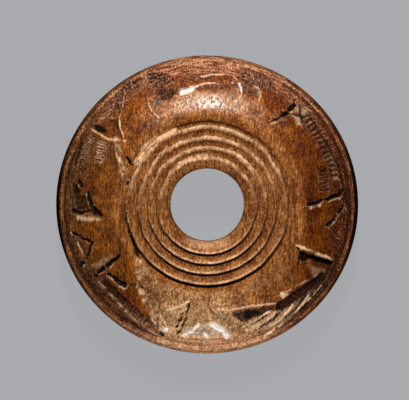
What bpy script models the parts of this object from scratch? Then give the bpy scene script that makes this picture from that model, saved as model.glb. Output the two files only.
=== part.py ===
"""A spindle whorl turned from one piece of bone and carved by hand round its domed face.

It lies on its flat underside, with the bore upright. Four stepped rings surround the bore, a valley parts
them from a domed band, and two turned lines run round the rim. The carver cut notches, small chevrons and
combed channels into the band. Millimetres below; the model is in metres, +Z up, with the origin in the
middle of the underside. Azimuths are in degrees, clockwise from +Y as seen from above.
"""

import math

import bmesh
import bpy

MM = 0.001
SEGMENTS = 72
ARC_STEPS = 5

# The turned body, which is a little less broad along Y than along X.
OUTER_DIAMETER = 28.0
BREADTH_ALONG_Y = 0.987
BORE_DIAMETER = 6.8
BORE_MOUTH_WIDTH = 0.25
BORE_MOUTH_DEPTH = 0.3
COLLAR_HEIGHT = 7.5
COLLAR_WIDTH = 1.23
COLLAR_SLOPE = 0.2

# Each ring rises outwards to its crest and then drops in a steep step.
RING_WIDTHS = (0.86, 0.93, 0.98)
RING_RISE = 0.19
STEP_RUN = 0.15
STEP_DROP = 0.27
LAST_STEP_RUN = 0.3
LAST_STEP_DROP = 0.42

# The valley outside the rings, and the domed band.
VALLEY_WIDTH = 0.38
FLANK_WIDTH = 0.75
FLANK_RISE = 0.66
DOME_FALL = 1.52

# The rim: a sloping border that starts in one turned line and bears another, then the rounded edge.
BORDER_WIDTH = 1.53
BORDER_FALL = 0.6
OUTER_LINE_INSET = 0.85
RIM_LINE_WIDTH = 0.26
RIM_LINE_DEPTH = 0.12
EDGE_ROLL_WIDTH = 0.5
EDGE_ROLL_HEIGHT = 1.1

# The underside.
UNDERSIDE_ROUND = 2.2
UNDERSIDE_LINE_RADIUS = 9.2
UNDERSIDE_LINE_WIDTH = 0.4
UNDERSIDE_LINE_DEPTH = 0.15

# How far a cutter stands out of the surface that it cuts.
CUTTER_PROUD = 0.15

# Long notches: azimuth and inset from the edge of the outer end and of the inner end, half width, depth.
NOTCHES = (
    (39.4, 1.35, 37.4, 4.9, 0.42, 0.50),
    (84.6, 1.45, 89.6, 4.7, 0.26, 0.42),
    (116.6, 1.45, 115.2, 5.1, 0.44, 0.52),
    (191.2, 1.60, 191.6, 4.5, 0.18, 0.24),
    (237.0, 1.60, 240.2, 4.6, 0.26, 0.42),
    (270.5, 1.60, 263.4, 4.6, 0.44, 0.48),
    (301.0, 1.50, 307.6, 4.5, 0.36, 0.34),
    (332.2, 1.15, 329.0, 4.8, 0.24, 0.24),
)

# Chevrons that hang from the border: azimuth and inset of the two corners and of the tip between them.
CHEVRONS = (
    ((15.4, 1.70), (26.0, 3.35), (29.4, 1.65)),
    ((90.4, 1.45), (99.8, 2.90), (105.0, 1.70)),
    ((173.6, 1.80), (180.3, 3.00), (183.4, 2.05)),
    ((245.6, 1.70), (251.0, 2.95), (258.7, 1.35)),
    ((309.4, 1.45), (315.2, 2.85), (322.4, 1.65)),
)
CHEVRON_HALF_WIDTH = 0.17
CHEVRON_DEPTH = 0.26

# Combed channels: azimuths of the two ends, inset of the inner edge at start, middle and end, then teeth.
CHANNELS = (
    (46.0, 84.0, (2.85, 2.75, 2.15), 13),
    (121.5, 148.5, (2.05, 2.90, 3.00), 16),
    (151.5, 169.5, (3.30, 4.10, 4.30), 6),
    (206.5, 236.5, (2.35, 2.85, 2.10), 16),
    (278.0, 300.5, (2.55, 2.50, 2.60), 14),
)
CHANNEL_OUTER_INSETS = (1.72, 1.72, 2.55, 1.72, 1.80)
CHANNEL_DEPTH = 0.34
CHANNEL_OUTER_DEPTH = 0.2
TOOTH_HEIGHT = 0.12

BONE_COLOUR = (0.27, 0.115, 0.036, 1.0)
BONE_ROUGHNESS = 0.38

OUTER_RADIUS = OUTER_DIAMETER / 2
BORE_RADIUS = BORE_DIAMETER / 2


def ellipse_quarter(centre, semi_axes, start, end):
    """Points round an ellipse in the profile's plane, from one angle to another in degrees."""
    points = []
    for step in range(ARC_STEPS + 1):
        angle = math.radians(start + (end - start) * step / ARC_STEPS)
        points.append((centre[0] + semi_axes[0] * math.cos(angle), centre[1] + semi_axes[1] * math.sin(angle)))
    return points


def stepped_rings():
    """The face from the bore's wall out to the valley: the collar, then the rings, each with its step."""
    radius, height = BORE_RADIUS + BORE_MOUTH_WIDTH, COLLAR_HEIGHT - COLLAR_SLOPE
    points = [(BORE_RADIUS, height - BORE_MOUTH_DEPTH), (radius, height)]
    crest = BORE_RADIUS + COLLAR_WIDTH
    points.append((crest, COLLAR_HEIGHT))
    height = COLLAR_HEIGHT
    for width in RING_WIDTHS:
        points.append((crest + STEP_RUN, height - STEP_DROP))
        crest, height = crest + width, height - STEP_DROP + RING_RISE
        points.append((crest, height))
    points.append((crest + LAST_STEP_RUN, height - LAST_STEP_DROP))
    return points


def turned_line(radius, height_at, width, depth):
    """A shallow V round the axis: its two lips and its bottom."""
    half = width / 2
    return [
        (radius - half, height_at(radius - half)),
        (radius, height_at(radius) + depth),
        (radius + half, height_at(radius + half)),
    ]


def domed_band(foot):
    """The valley, its outer flank and the dome, which falls ever faster to the border."""
    valley_end = foot[0] + VALLEY_WIDTH
    crest = (valley_end + FLANK_WIDTH, foot[1] + FLANK_RISE)
    border = OUTER_RADIUS - BORDER_WIDTH
    points = [(valley_end, foot[1]), crest]
    for step in range(1, ARC_STEPS + 1):
        share = step / ARC_STEPS
        points.append((crest[0] + (border - crest[0]) * share, crest[1] - DOME_FALL * share**2))
    return points


def rim(start):
    """The sloping border with its turned lines, and the rounded edge down to the widest point."""
    end = OUTER_RADIUS - EDGE_ROLL_WIDTH

    def height_at(radius):
        return start[1] - BORDER_FALL * (radius - start[0]) / (end - start[0])

    points = []
    for inset in (BORDER_WIDTH, OUTER_LINE_INSET):
        points += turned_line(OUTER_RADIUS - inset, height_at, RIM_LINE_WIDTH, -RIM_LINE_DEPTH)
    middle = (end, height_at(end) - EDGE_ROLL_HEIGHT)
    return points + ellipse_quarter(middle, (EDGE_ROLL_WIDTH, EDGE_ROLL_HEIGHT), 80, 0)


def underside(widest):
    """From the widest point round to the flat that the whorl lies on, and in to the bore."""
    flat_edge = OUTER_RADIUS - UNDERSIDE_ROUND
    points = ellipse_quarter((flat_edge, widest[1]), (UNDERSIDE_ROUND, widest[1]), 0, -90)[1:]
    line = turned_line(UNDERSIDE_LINE_RADIUS, lambda radius: 0.0, UNDERSIDE_LINE_WIDTH, UNDERSIDE_LINE_DEPTH)
    points += reversed(line)
    return points + [(BORE_RADIUS + BORE_MOUTH_WIDTH, 0.0), (BORE_RADIUS, BORE_MOUTH_DEPTH)]


def face_profile():
    """The carved face in section, from the bore's wall to the widest point."""
    points = stepped_rings()
    points += domed_band(points[-1])
    border = points.pop()
    return points + rim(border)


def height_on_face(profile, radius):
    """The height of the turned face at a radius, before any carving."""
    for (r0, z0), (r1, z1) in zip(profile, profile[1:]):
        if r0 <= radius <= r1 and r1 > r0:
            return z0 + (z1 - z0) * (radius - r0) / (r1 - r0)
    return profile[-1][1]


def place(azimuth, radius, height):
    """A point in metres from its azimuth, radius and height."""
    angle = math.radians(azimuth)
    return (radius * math.sin(angle) * MM, radius * math.cos(angle) * MM, height * MM)


def turn_body(profile):
    """Spins the closed section once round the bore's axis."""
    mesh = bmesh.new()
    verts = [mesh.verts.new((radius * MM, 0.0, height * MM)) for radius, height in profile]
    edges = [mesh.edges.new((verts[i - 1], verts[i])) for i in range(len(verts))]
    bmesh.ops.spin(
        mesh,
        geom=verts + edges,
        cent=(0.0, 0.0, 0.0),
        axis=(0.0, 0.0, 1.0),
        angle=math.tau,
        steps=SEGMENTS,
        use_merge=True,
    )
    bmesh.ops.recalc_face_normals(mesh, faces=mesh.faces)
    return mesh


def loft(sections):
    """A closed body through a row of sections that have the same number of points each."""
    mesh = bmesh.new()
    rows = [[mesh.verts.new(point) for point in section] for section in sections]
    count = len(rows[0])
    for near, far in zip(rows, rows[1:]):
        for i in range(count):
            mesh.faces.new((near[i], near[(i + 1) % count], far[(i + 1) % count], far[i]))
    mesh.faces.new(rows[0])
    mesh.faces.new(rows[-1])
    bmesh.ops.triangulate(mesh, faces=mesh.faces)
    bmesh.ops.recalc_face_normals(mesh, faces=mesh.faces)
    return mesh


def gouge(profile, start, end, half_width, depth, stations=9):
    """A V cut between two places, given as azimuth and inset, that dives from the surface and comes out."""
    first = place(start[0], OUTER_RADIUS - start[1], 0.0)
    last = place(end[0], OUTER_RADIUS - end[1], 0.0)
    along = (last[0] - first[0], last[1] - first[1])
    length = math.hypot(*along)
    across = (-along[1] / length, along[0] / length)
    sections = []
    for station in range(stations):
        share = station / (stations - 1)
        x, y = first[0] + along[0] * share, first[1] + along[1] * share
        surface = height_on_face(profile, math.hypot(x, y) / MM)
        end_lift = (2 * share - 1) ** 4
        keel = -depth * (1 - end_lift) + CUTTER_PROUD * end_lift
        top = 2 * CUTTER_PROUD
        reach = half_width * (top - keel) / depth * MM
        sections.append(
            [
                (x - across[0] * reach, y - across[1] * reach, (surface + top) * MM),
                (x, y, (surface + keel) * MM),
                (x + across[0] * reach, y + across[1] * reach, (surface + top) * MM),
            ]
        )
    return loft(sections)


def comb_channel(profile, start, end, inner_insets, outer_inset, teeth):
    """A channel along the border whose floor is notched across like a comb."""
    sections = []
    stations = 2 * teeth + 1
    for station in range(stations):
        share = station / (stations - 1)
        azimuth = start + (end - start) * share
        low, middle, high = inner_insets
        inset = low * (1 - share) * (1 - 2 * share) + 4 * middle * share * (1 - share) + high * share * (2 * share - 1)
        inner, outer = OUTER_RADIUS - inset, OUTER_RADIUS - outer_inset
        tooth = TOOTH_HEIGHT * (station % 2)
        section = []
        for radius, offset in (
            (inner, 2 * CUTTER_PROUD),
            (inner, tooth - CHANNEL_DEPTH),
            (outer, tooth - CHANNEL_OUTER_DEPTH),
            (outer, 2 * CUTTER_PROUD),
        ):
            section.append(place(azimuth, radius, height_on_face(profile, radius) + offset))
        sections.append(section)
    return loft(sections)


def bone_material():
    material = bpy.data.materials.new("bone")
    material.use_nodes = True
    shader = material.node_tree.nodes["Principled BSDF"]
    shader.inputs["Base Color"].default_value = BONE_COLOUR
    shader.inputs["Roughness"].default_value = BONE_ROUGHNESS
    shader.inputs["Metallic"].default_value = 0.0
    return material


def new_object(name, mesh, collection):
    bmesh.ops.scale(mesh, vec=(1.0, BREADTH_ALONG_Y, 1.0), verts=mesh.verts)
    data = bpy.data.meshes.new(name)
    mesh.to_mesh(data)
    mesh.free()
    made = bpy.data.objects.new(name, data)
    collection.objects.link(made)
    return made


def carving_tools(profile):
    """Every cutter, in a collection of its own that no render shows."""
    tools = bpy.data.collections.new("carving_tools")
    bpy.context.scene.collection.children.link(tools)
    cuts = []
    for outer_azimuth, outer_inset, inner_azimuth, inner_inset, half_width, depth in NOTCHES:
        start, end = (outer_azimuth, outer_inset), (inner_azimuth, inner_inset)
        cuts.append(gouge(profile, start, end, half_width, depth))
    for corner, tip, other_corner in CHEVRONS:
        cuts.append(gouge(profile, corner, tip, CHEVRON_HALF_WIDTH, CHEVRON_DEPTH))
        cuts.append(gouge(profile, tip, other_corner, CHEVRON_HALF_WIDTH, CHEVRON_DEPTH))
    for (start, end, inner_insets, teeth), outer_inset in zip(CHANNELS, CHANNEL_OUTER_INSETS):
        cuts.append(comb_channel(profile, start, end, inner_insets, outer_inset, teeth))
    for number, cut in enumerate(cuts):
        tool = new_object(f"carving_tool_{number:02d}", cut, tools)
        tool.hide_render = True
        tool.display_type = "WIRE"
    return tools


def main():
    for old in list(bpy.data.objects):
        bpy.data.objects.remove(old)
    face = face_profile()
    section = face + underside(face[-1])
    whorl = new_object("whorl", turn_body(section), bpy.context.scene.collection)
    whorl.data.shade_smooth()
    whorl.data.set_sharp_from_angle(angle=math.radians(30))
    whorl.data.materials.append(bone_material())
    carve = whorl.modifiers.new("carve", "BOOLEAN")
    carve.operation = "DIFFERENCE"
    carve.solver = "EXACT"
    carve.operand_type = "COLLECTION"
    carve.collection = carving_tools(face)


main()
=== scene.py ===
"""A carved bone spindle whorl, lying on its flat underside and seen straight down its bore.

The whorl and the camera's place are in millimetres until Blender gets them; the floor and the lights are in
metres. A place on the face is (x, y), from the middle of the outline, with +Y along the grain of the bone.
Azimuths are degrees clockwise from +Y as seen from above.
"""

import math

import bpy
import numpy as np
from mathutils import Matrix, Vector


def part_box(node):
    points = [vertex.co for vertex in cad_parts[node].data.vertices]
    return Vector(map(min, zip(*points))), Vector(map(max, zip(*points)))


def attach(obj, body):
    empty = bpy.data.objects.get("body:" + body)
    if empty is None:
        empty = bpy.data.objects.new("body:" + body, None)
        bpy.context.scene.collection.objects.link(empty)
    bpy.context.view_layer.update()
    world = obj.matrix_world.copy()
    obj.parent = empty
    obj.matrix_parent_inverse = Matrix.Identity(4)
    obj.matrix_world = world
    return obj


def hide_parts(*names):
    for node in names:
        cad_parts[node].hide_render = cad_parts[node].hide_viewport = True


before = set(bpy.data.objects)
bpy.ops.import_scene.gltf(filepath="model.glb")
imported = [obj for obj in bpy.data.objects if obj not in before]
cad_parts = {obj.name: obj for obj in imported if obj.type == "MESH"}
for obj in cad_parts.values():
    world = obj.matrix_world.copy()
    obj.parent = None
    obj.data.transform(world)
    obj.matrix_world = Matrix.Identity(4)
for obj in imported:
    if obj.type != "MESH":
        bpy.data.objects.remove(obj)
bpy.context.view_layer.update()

MM = 0.001
SEED = 7

# The blank, from the frame, and how far under its top the relief stays.
TOP_MARGIN = 0.03
FACE_SINK = 0.02
box_low, box_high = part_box("whorl")
RADIUS = (box_high.x - box_low.x) / 2 / MM
OVAL = (box_high.y - box_low.y) / (box_high.x - box_low.x)
TOP = box_high.z / MM - TOP_MARGIN

# The turned face: radii, and depths under the top. Each ring rises outwards from the foot of one step to
# the crest of the next, and a curve's power says how late it rises or falls.
BORE_RADIUS = 3.43
BORE_MOUTH = ((BORE_RADIUS, 0.92), (3.48, 0.64), (3.62, 0.48), (4.05, 0.26), (4.34, 0.14))
COLLAR_DEPTH = 0.12
RING_CRESTS = (4.55, 5.47, 6.40, 7.42)
RING_RISE = 0.36
RING_CURVE = 1.9
CREST_WIDTH = 0.10
STEP_RUN = 0.16
STEP_DROP = 0.39
LAST_STEP_RUN = 0.24
LAST_STEP_DROP = 0.52
BAND_CREST = 8.50
BAND_CREST_DEPTH = 0.0
VALLEY_CURVE = 1.7
BORDER = 12.47
DOME_FALL = 1.52
DOME_CURVE = 1.45
LEDGE_END = 13.5
LEDGE_FALL = 0.62
# The lines turned into the border: radius, half width and depth.
RIM_LINES = ((12.30, 0.20, 0.10), (12.72, 0.10, 0.04), (13.23, 0.14, 0.14))
# The profile is worked out at this spacing, and its corners are eased over some steps on either side.
PROFILE_STEP = 0.01
EASED_STEPS = 12
EASING = 2.6

# Below the face: the height of the widest point, the bore's wall and its rows as shares of its height, and
# the flat underside with its turned line and its small countersink, as (radius, height).
EDGE_HEIGHT = 4.26
BORE_WALL_RADIUS = 3.42
BORE_WALL_DEPTH = 0.8
BORE_WALL_ROWS = (0.06, 0.2, 0.4, 0.6, 0.8, 0.93)
UNDERSIDE_FLAT = 11.8
UNDERSIDE = ((9.42, 0.0), (9.2, 0.13), (8.98, 0.0), (6.3, 0.0), (3.66, 0.0), (3.50, 0.12))

# Hand turning: how far along Y the rings sit from the middle of the outline, and the share of a radius by
# which the edge and the side are out of round.
RING_SHIFT = -0.08
EDGE_WANDER = 0.0025
SIDE_WANDER = 0.0015

# Columns and rows of the mesh: (radius where a run of rows ends, rows in it). The upper rows of the side
# have as many columns as the rings, and the other plain parts have half of that.
RING_COLUMNS = 450
BAND_COLUMNS = 900
PLAIN_COLUMNS = RING_COLUMNS // 2
RING_ROWS = (
    (3.7, 4), (4.35, 6), (4.85, 11), (5.3, 4), (5.8, 11), (6.2, 4), (6.75, 11), (7.25, 4), (7.85, 9),
    (8.0, 1),
)
BAND_START = 8.08
BAND_ROWS = ((12.0, 38), (13.6, 18), (13.9, 5), (14.0, 3))
SIDE_ROWS = 16
UPPER_SIDE_ROWS = 10

# How high or deep the bone's own unevenness is.
PIT_DEPTH = 0.05
LUMP_HEIGHT = 0.012
FIBRE_HEIGHT = 0.012
BORDER_FLAKE_HEIGHT = 0.03


def smooth(low, high, value):
    """0 below low, 1 above high, and an even ramp between them."""
    share = np.clip((value - low) / (high - low), 0.0, 1.0)
    return share * share * (3.0 - 2.0 * share)


def between(low, full, fading, high, value):
    """1 from full to fading, 0 below low and above high, and even ramps between them."""
    return smooth(low, full, value) * (1 - smooth(fading, high, value))


class Noise:
    """Soft noise from -1 to 1, made on a lattice with its own cell along x and along y."""

    def __init__(self, cell_x, cell_y, seed, span=16.0):
        self.cells = (cell_x, cell_y)
        self.span = span
        size = (int(2 * span / cell_x) + 3, int(2 * span / cell_y) + 3)
        self.grid = np.random.default_rng(SEED + seed).uniform(-1.0, 1.0, size)

    def __call__(self, x, y):
        u = (np.clip(x, -self.span, self.span) + self.span) / self.cells[0]
        v = (np.clip(y, -self.span, self.span) + self.span) / self.cells[1]
        i, j = u.astype(int), v.astype(int)
        s, t = u - i, v - j
        s, t = s * s * (3 - 2 * s), t * t * (3 - 2 * t)
        near = self.grid[i, j] * (1 - s) + self.grid[i + 1, j] * s
        far = self.grid[i, j + 1] * (1 - s) + self.grid[i + 1, j + 1] * s
        return near * (1 - t) + far * t


def along(points, x, y):
    """Each place's share along a line, its distance to the right of it, and its rise over it."""
    points = np.array(points, float)
    lengths = np.hypot(*np.diff(points, axis=0).T)
    starts = np.concatenate([[0.0], np.cumsum(lengths)])
    best = np.full(x.shape, np.inf)
    share = np.zeros(x.shape)
    side = np.zeros(x.shape)
    rise = np.zeros(x.shape)
    for start, end, length, run in zip(points, points[1:], lengths, starts):
        step = (end - start) / length
        reach = np.clip((x - start[0]) * step[0] + (y - start[1]) * step[1], 0.0, length)
        off_x, off_y = x - start[0] - reach * step[0], y - start[1] - reach * step[1]
        distance = np.hypot(off_x, off_y)
        closer = distance < best
        best = np.where(closer, distance, best)
        share = np.where(closer, (run + reach) / starts[-1], share)
        side = np.where(closer, np.sign(off_x * step[1] - off_y * step[0]) * distance, side)
        rise = np.where(closer, off_y, rise)
    return share, side, rise


# Carved places, in (x, y). A groove has its line, its half width at the start and at the end, its depth,
# and how black the dirt in it is.
GROOVES = (
    # the notch at the upper right: a thin start, two black bites, the tail that runs in, a hole, two slits
    (((8.15, 9.75), (8.0, 9.25)), 0.07, 0.1, 0.25, 0.8),
    (((8.05, 9.12), (7.6, 8.75)), 0.14, 0.2, 0.5, 1.0),
    (((7.38, 8.42), (6.88, 8.12)), 0.2, 0.14, 0.5, 1.0),
    (((6.85, 8.1), (6.35, 7.82), (5.69, 7.44)), 0.09, 0.05, 0.25, 1.0),
    (((8.65, 8.05), (8.72, 7.9)), 0.13, 0.13, 0.3, 1.0),
    (((8.55, 9.2), (8.6, 8.4), (8.8, 7.6)), 0.06, 0.09, 0.2, 0.9),
    (((7.7, 8.35), (8.5, 8.15)), 0.07, 0.07, 0.2, 0.9),
    # the notch at the right: two bites, the thin neck between them and the hook at the end
    (((9.35, 0.0), (10.1, 0.15), (10.6, 0.38)), 0.17, 0.12, 0.34, 1.0),
    (((10.6, 0.38), (11.1, 0.48)), 0.07, 0.08, 0.2, 0.7),
    (((11.1, 0.48), (12.1, 0.88)), 0.16, 0.2, 0.42, 1.0),
    (((12.1, 0.9), (12.55, 1.4)), 0.18, 0.1, 0.3, 0.9),
    # the chevron under it
    (((11.1, -1.9), (11.75, -1.35)), 0.14, 0.11, 0.34, 1.0),
    (((12.1, -0.8), (12.6, -0.15)), 0.13, 0.1, 0.3, 1.0),
    (((11.75, -1.35), (12.1, -0.8)), 0.08, 0.08, 0.18, 0.6),
    (((11.1, -1.9), (11.75, -2.65), (12.2, -3.1)), 0.08, 0.09, 0.14, 0.5),
    # the two spurs of the notch at the lower right
    (((8.45, -4.95), (8.4, -5.95)), 0.12, 0.05, 0.25, 0.9),
    (((8.35, -4.0), (8.65, -4.5)), 0.07, 0.12, 0.22, 0.9),
    # slits between the broken slivers at the lower right
    (((3.6, -11.25), (4.6, -10.8), (5.5, -10.2)), 0.1, 0.1, 0.2, 1.0),
    (((4.8, -11.45), (5.9, -10.8), (6.6, -10.1)), 0.09, 0.1, 0.18, 0.95),
    (((7.3, -10.5), (8.3, -9.5), (9.2, -8.35)), 0.06, 0.09, 0.16, 0.9),
    (((7.6, -10.8), (8.8, -9.45), (9.8, -8.2), (10.4, -7.4)), 0.06, 0.09, 0.14, 0.9),
    (((8.6, -9.95), (9.6, -8.8), (10.5, -7.75)), 0.06, 0.08, 0.12, 0.8),
    # two cuts and a hole in the worn ground at the foot of the face
    (((-1.65, -9.25), (-1.95, -10.5), (-2.35, -11.4), (-2.85, -12.0)), 0.07, 0.08, 0.24, 1.0),
    (((-2.25, -10.1), (-2.5, -10.7), (-2.8, -11.3)), 0.07, 0.07, 0.18, 1.0),
    (((-4.15, -12.0), (-4.3, -11.9)), 0.18, 0.18, 0.25, 1.0),
    # the notch at the lower left
    (((-8.2, -4.8), (-9.2, -5.65)), 0.15, 0.2, 0.42, 1.0),
    (((-9.6, -5.9), (-10.05, -6.3)), 0.19, 0.13, 0.36, 1.0),
    (((-9.2, -5.65), (-9.6, -5.9)), 0.08, 0.08, 0.2, 0.7),
    (((-10.2, -6.6), (-10.3, -6.65)), 0.12, 0.12, 0.24, 1.0),
    (((-9.15, -6.4), (-8.4, -6.95), (-7.65, -7.42)), 0.09, 0.24, 0.36, 1.0),
    # the chevron at the left
    (((-12.5, -2.6), (-11.8, -2.95), (-10.6, -3.5)), 0.08, 0.11, 0.32, 1.0),
    (((-10.65, -3.6), (-10.9, -4.35), (-11.2, -5.0)), 0.11, 0.08, 0.3, 1.0),
    (((-11.5, -5.45), (-11.6, -5.6)), 0.15, 0.15, 0.24, 1.0),
    # the notch at the left
    (((-11.0, 1.05), (-10.7, -0.1)), 0.12, 0.17, 0.36, 1.0),
    (((-12.3, -0.6), (-11.6, -0.8), (-10.8, -0.6)), 0.18, 0.08, 0.28, 1.0),
    (((-11.85, 2.15), (-11.6, 1.8)), 0.16, 0.14, 0.28, 1.0),
    # the dark stain beside the combing at the left
    (((-11.55, 5.7), (-11.8, 4.9), (-12.2, 3.65)), 0.1, 0.14, 0.1, 0.8),
    # the inner edge of the pocket at the upper left
    (((-8.3, 8.0), (-8.3, 7.1), (-7.9, 6.2)), 0.08, 0.08, 0.08, 0.45),
    # the long scratch at the top left
    (((-6.3, 12.0), (-5.85, 10.9), (-5.65, 9.1), (-5.25, 8.4), (-4.6, 7.93)), 0.1, 0.08, 0.12, 0.25),
    # the cut at the top right, beside the round chip
    (((2.2, 12.0), (3.15, 11.0), (4.25, 10.1), (4.7, 9.7)), 0.05, 0.07, 0.08, 0.45),
    # the groove outside the combing at the upper right
    (((9.45, 8.1), (10.4, 6.6), (11.3, 5.15), (12.05, 3.65), (12.6, 1.4)), 0.07, 0.11, 0.12, 0.85),
    # single holes along the crack
    (((-7.35, 2.0), (-7.42, 1.85)), 0.13, 0.12, 0.24, 1.0),
    (((-6.05, -7.55), (-5.9, -7.65)), 0.13, 0.12, 0.2, 1.0),
)

# Thin worn edges that catch the light, pale partly from wear and partly as a painted highlight: their line,
# half width, how pale they are, and twice how far they stand up. A thin edge wavers less than a broad one, a
# very pale one has no gaps, and a proud one gets a painted white glint.
THIN_EDGE = 0.1
UNBROKEN_EDGE = 0.85
PROUD_EDGE = 0.08
EDGES = (
    # the edges of the pocket at the upper left, then the long scratch at the top left
    (((-7.65, 9.95), (-7.9, 8.7), (-8.1, 7.9)), 0.06, 0.5, 0.03),
    (((-8.1, 7.9), (-8.05, 7.1), (-7.75, 6.25)), 0.08, 0.85, 0.05),
    (((-10.6, 6.9), (-9.2, 6.05), (-7.55, 5.85)), 0.09, 0.8, 0.04),
    (((-9.95, 7.9), (-8.15, 8.05)), 0.08, 0.6, 0.03),
    (((-5.55, 9.9), (-5.4, 9.1), (-5.05, 8.5), (-4.45, 8.0)), 0.08, 0.8, 0.04),
    (((-6.15, 12.0), (-5.7, 10.9), (-5.55, 9.9)), 0.07, 0.5, 0.03),
    # the top: the edge of the recess, the strip over it, and the broken arcs round the chips on the right
    (((-1.1, 10.9), (-0.2, 11.15), (0.6, 11.2)), 0.09, 1.0, 0.05),
    (((0.6, 11.2), (1.1, 11.05), (1.6, 11.15)), 0.05, 0.7, 0.03),
    (((-0.6, 11.8), (0.4, 12.0), (1.5, 12.0)), 0.07, 0.95, 0.05),
    (((2.4, 11.9), (2.86, 11.35), (3.1, 10.8)), 0.07, 0.84, 0.06),
    (((2.92, 11.1), (3.1, 10.7), (3.18, 10.3)), 0.1, 1.0, 0.09),
    (((3.12, 10.1), (3.0, 9.85), (2.75, 9.6)), 0.09, 0.8, 0.06),
    (((4.05, 11.2), (4.5, 10.9), (4.9, 10.5)), 0.06, 0.7, 0.03),
    (((4.85, 10.4), (4.95, 10.0), (4.8, 9.6)), 0.07, 0.55, 0.03),
    # the notch at the upper right
    (((5.9, 7.42), (6.6, 7.68), (7.3, 7.8)), 0.09, 0.5, 0.03),
    (((8.6, 9.25), (9.65, 8.6)), 0.07, 0.45, 0.04),
    (((7.7, 8.3), (8.4, 7.8), (8.8, 7.05)), 0.08, 0.55, 0.04),
    # the notch at the lower right
    (((8.3, -3.8), (9.2, -4.15), (10.3, -4.6), (11.5, -5.05)), 0.14, 0.8, 0.05),
    (((8.35, -3.85), (9.3, -4.22)), 0.08, 0.9, 0.04),
    # the edges over the combing and the dark wedge at the lower right, then the broken slivers
    (((6.7, -8.4), (8.4, -7.45), (10.2, -6.45)), 0.07, 0.55, 0.03),
    (((0.9, -9.65), (2.05, -9.75), (4.05, -9.35), (6.3, -9.15)), 0.08, 0.95, 0.04),
    (((3.3, -11.35), (4.4, -10.8), (5.3, -10.15), (5.75, -9.9)), 0.09, 0.95, 0.05),
    (((4.1, -11.4), (5.1, -11.0), (6.1, -10.3), (6.3, -9.9)), 0.08, 0.9, 0.05),
    (((5.5, -11.5), (6.5, -10.8), (7.4, -10.0), (7.9, -9.3)), 0.13, 0.84, 0.05),
    (((6.6, -11.3), (7.8, -10.3), (8.8, -9.25), (9.5, -8.2)), 0.09, 0.84, 0.05),
    (((8.1, -10.1), (9.2, -8.9), (10.1, -7.75)), 0.07, 0.8, 0.05),
    (((9.2, -9.1), (10.0, -8.2), (10.6, -7.35)), 0.06, 0.8, 0.04),
    (((5.3, -12.15), (5.9, -11.85), (6.15, -11.5)), 0.14, 0.95, 0.05),
    # the small arch at the foot of the face, with painted white glints on its proud edges
    (((-2.15, -12.1), (-1.3, -11.6), (-0.9, -11.2)), 0.16, 1.0, 0.09),
    (((-1.1, -11.2), (-0.3, -11.05), (0.4, -11.1)), 0.1, 0.8, 0.05),
    (((0.5, -11.1), (1.3, -11.6), (1.9, -12.2)), 0.28, 1.0, 0.1),
    (((-0.25, -12.05), (-0.1, -12.15)), 0.22, 1.0, 0.09),
    # the facets of the worn ground on its left
    (((-4.7, -9.35), (-4.2, -10.5), (-3.5, -11.6)), 0.09, 0.8, 0.04),
    (((-3.85, -9.7), (-2.9, -9.55), (-1.75, -9.0)), 0.11, 0.9, 0.05),
    (((-3.0, -9.95), (-2.0, -9.75)), 0.06, 0.8, 0.04),
    (((-4.0, -11.4), (-3.8, -11.6)), 0.18, 1.0, 0.09),
    # the outer edge of the combing at the lower left, and the chevron at the left
    (((-10.05, -7.05), (-7.95, -9.4), (-6.25, -11.1), (-4.75, -12.0)), 0.08, 0.5, 0.04),
    (((-12.0, -3.5), (-11.4, -4.8)), 0.06, 0.42, 0.03),
    # the broad creamy wear on two of the rings
    (((-6.45, 3.85), (-5.7, 5.3), (-4.6, 6.05), (-3.1, 6.8)), 0.3, 0.95, 0.0),
    (((-3.45, 2.9), (-2.7, 3.65), (-1.6, 4.2), (-0.2, 4.55)), 0.2, 0.75, 0.0),
    # a chip beside the crack, and the ground under the notch at the right
    (((-6.35, -5.0), (-6.2, -5.3)), 0.14, 0.8, 0.03),
    (((9.6, -0.3), (10.4, -0.05)), 0.16, 0.55, 0.03),
)

# Combed channels: the line down the middle, half width at its two ends, depth, teeth, the lean of the
# teeth in degrees, and how black the dirt is at the start, in the middle and at the end.
CHANNELS = (
    (((8.9, 8.5), (9.55, 7.45), (10.1, 6.6), (10.6, 5.7), (11.05, 4.65), (11.5, 3.65), (11.9, 2.2)),
     0.46, 0.3, 0.18, 15, 0.0, (0.75, 0.85, 0.5)),
    (((10.68, 3.3), (10.75, 2.2), (10.8, 1.1)), 0.4, 0.42, 0.14, 8, 0.0, (1.0, 0.8, 0.75)),
    (((10.85, -6.5), (10.2, -7.0), (9.2, -7.7), (8.2, -8.4), (7.2, -9.1), (6.5, -9.6)),
     0.34, 0.5, 0.42, 19, 0.0, (1.0, 1.0, 1.0)),
    (((-9.75, -7.05), (-9.05, -7.7), (-8.1, -8.55), (-7.2, -9.4), (-6.25, -10.3), (-5.5, -11.0)),
     0.38, 0.3, 0.36, 17, 24.0, (1.0, 0.96, 0.45)),
    (((-10.6, 6.25), (-11.0, 5.15), (-11.35, 3.85), (-11.8, 2.75)),
     0.34, 0.38, 0.26, 16, -14.0, (0.5, 0.5, 0.9)),
    (((-9.6, 5.9), (-9.95, 3.8)), 0.45, 0.4, 0.08, 8, 0.0, (0.25, 0.3, 0.1)),
)

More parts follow.
